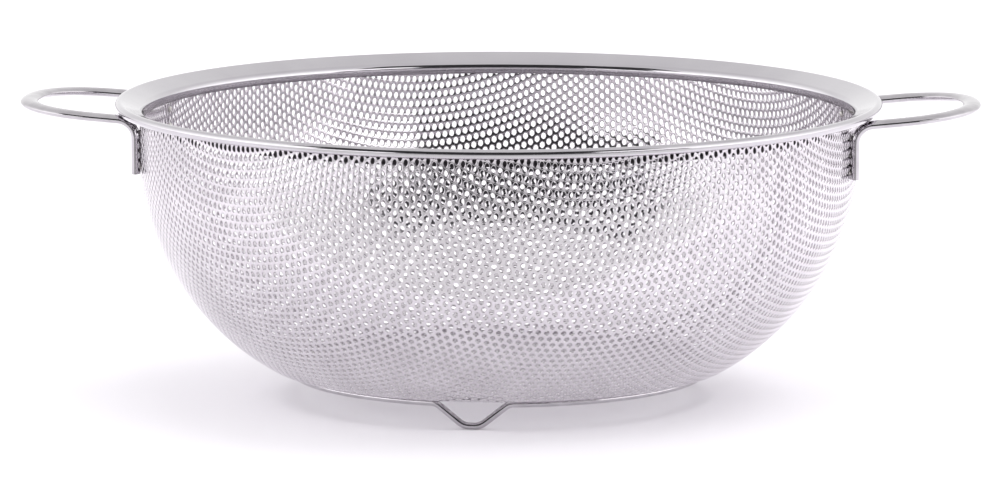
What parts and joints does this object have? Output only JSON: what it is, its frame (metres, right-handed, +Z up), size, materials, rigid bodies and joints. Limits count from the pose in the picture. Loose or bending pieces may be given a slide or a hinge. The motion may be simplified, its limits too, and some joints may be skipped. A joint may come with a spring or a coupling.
{
  "type": "colander",
  "caption": "Deep round colander of perforated steel sheet with a folded rim, wire loop handles and a wire base ring with V-shaped feet.",
  "frame": {"origin": "on the table under the bowl's centre, at the middle of the bounding box's underside", "axes": "+Z up; X runs between the two handles, with handle_right at +X and each handle set 3 degrees round towards +Y; the front foot is towards -Y"},
  "size_m": [0.3592, 0.286, 0.112],
  "materials": {
    "pierced_sheet": "satin stainless sheet, perforated all over in a hexagonal pattern",
    "rim_sheet": "bright polished stainless sheet",
    "hidden_wire": "plain drawn wire, hidden in the rim",
    "handle_wire": "bright polished stainless wire, flattened to an oval",
    "base_wire": "bright polished stainless wire"
  },
  "bodies": {
    "root": {"bowl": "pierced_sheet", "rim_band": "rim_sheet", "rim_wire": "hidden_wire", "handle_left": "handle_wire", "handle_right": "handle_wire", "base_ring": "base_wire"}
  },
  "joints": []
}
